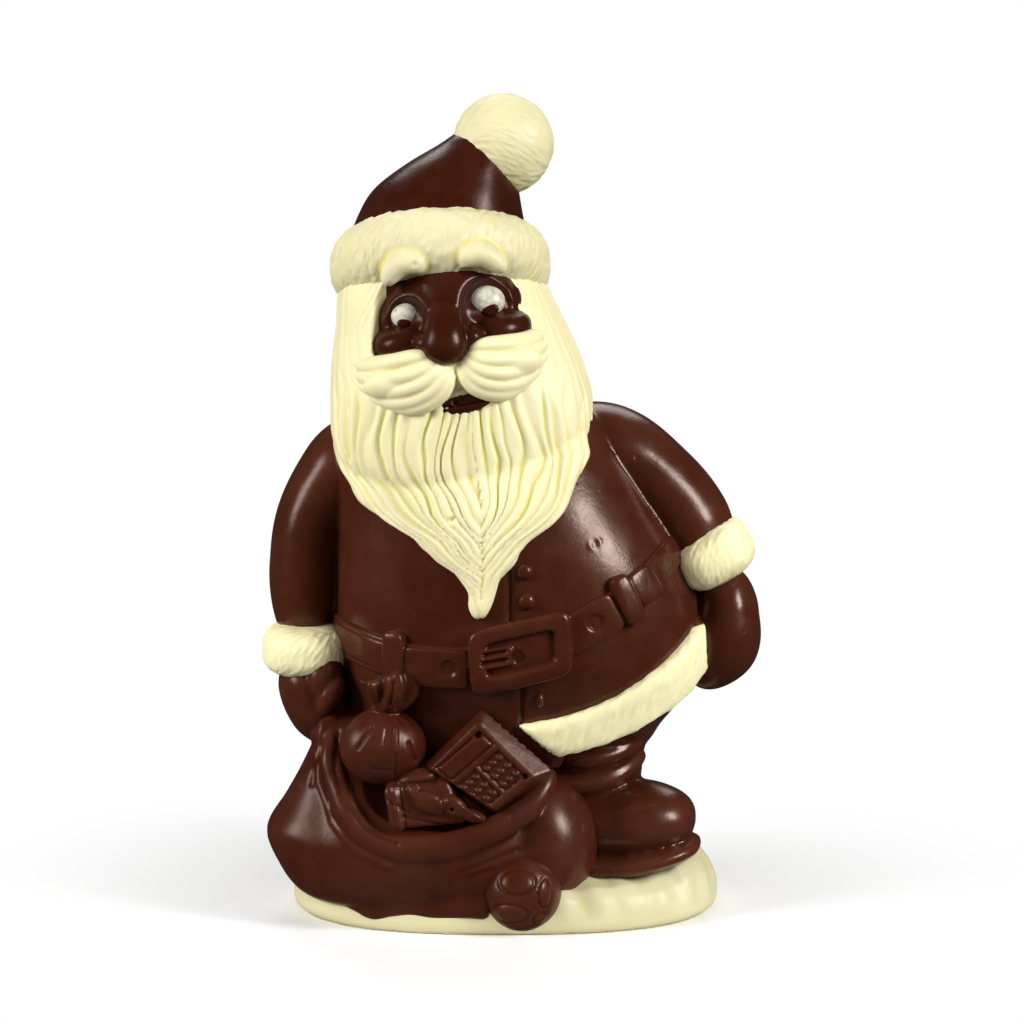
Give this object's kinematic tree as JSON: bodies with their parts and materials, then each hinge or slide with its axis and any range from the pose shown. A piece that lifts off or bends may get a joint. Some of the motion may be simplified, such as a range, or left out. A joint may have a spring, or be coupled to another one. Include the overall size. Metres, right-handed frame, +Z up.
{
  "type": "chocolate santa claus figure",
  "caption": "Moulded chocolate Santa Claus figure with a sack of presents on a snow base, cast in dark and white chocolate as one piece.",
  "frame": {"origin": "under the middle of the figure's bounding box, on the surface that the snow base rests on", "axes": "+Z up, +X to the right of a viewer who looks at the figure's face, +Y away from that viewer"},
  "size_m": [0.098, 0.0644, 0.16],
  "materials": {
    "dark_chocolate": "semi-gloss dark milk chocolate with fine pits",
    "white_chocolate": "satin ivory white chocolate"
  },
  "bodies": {
    "root": {"chocolate_santa": "dark_chocolate"}
  },
  "joints": []
}
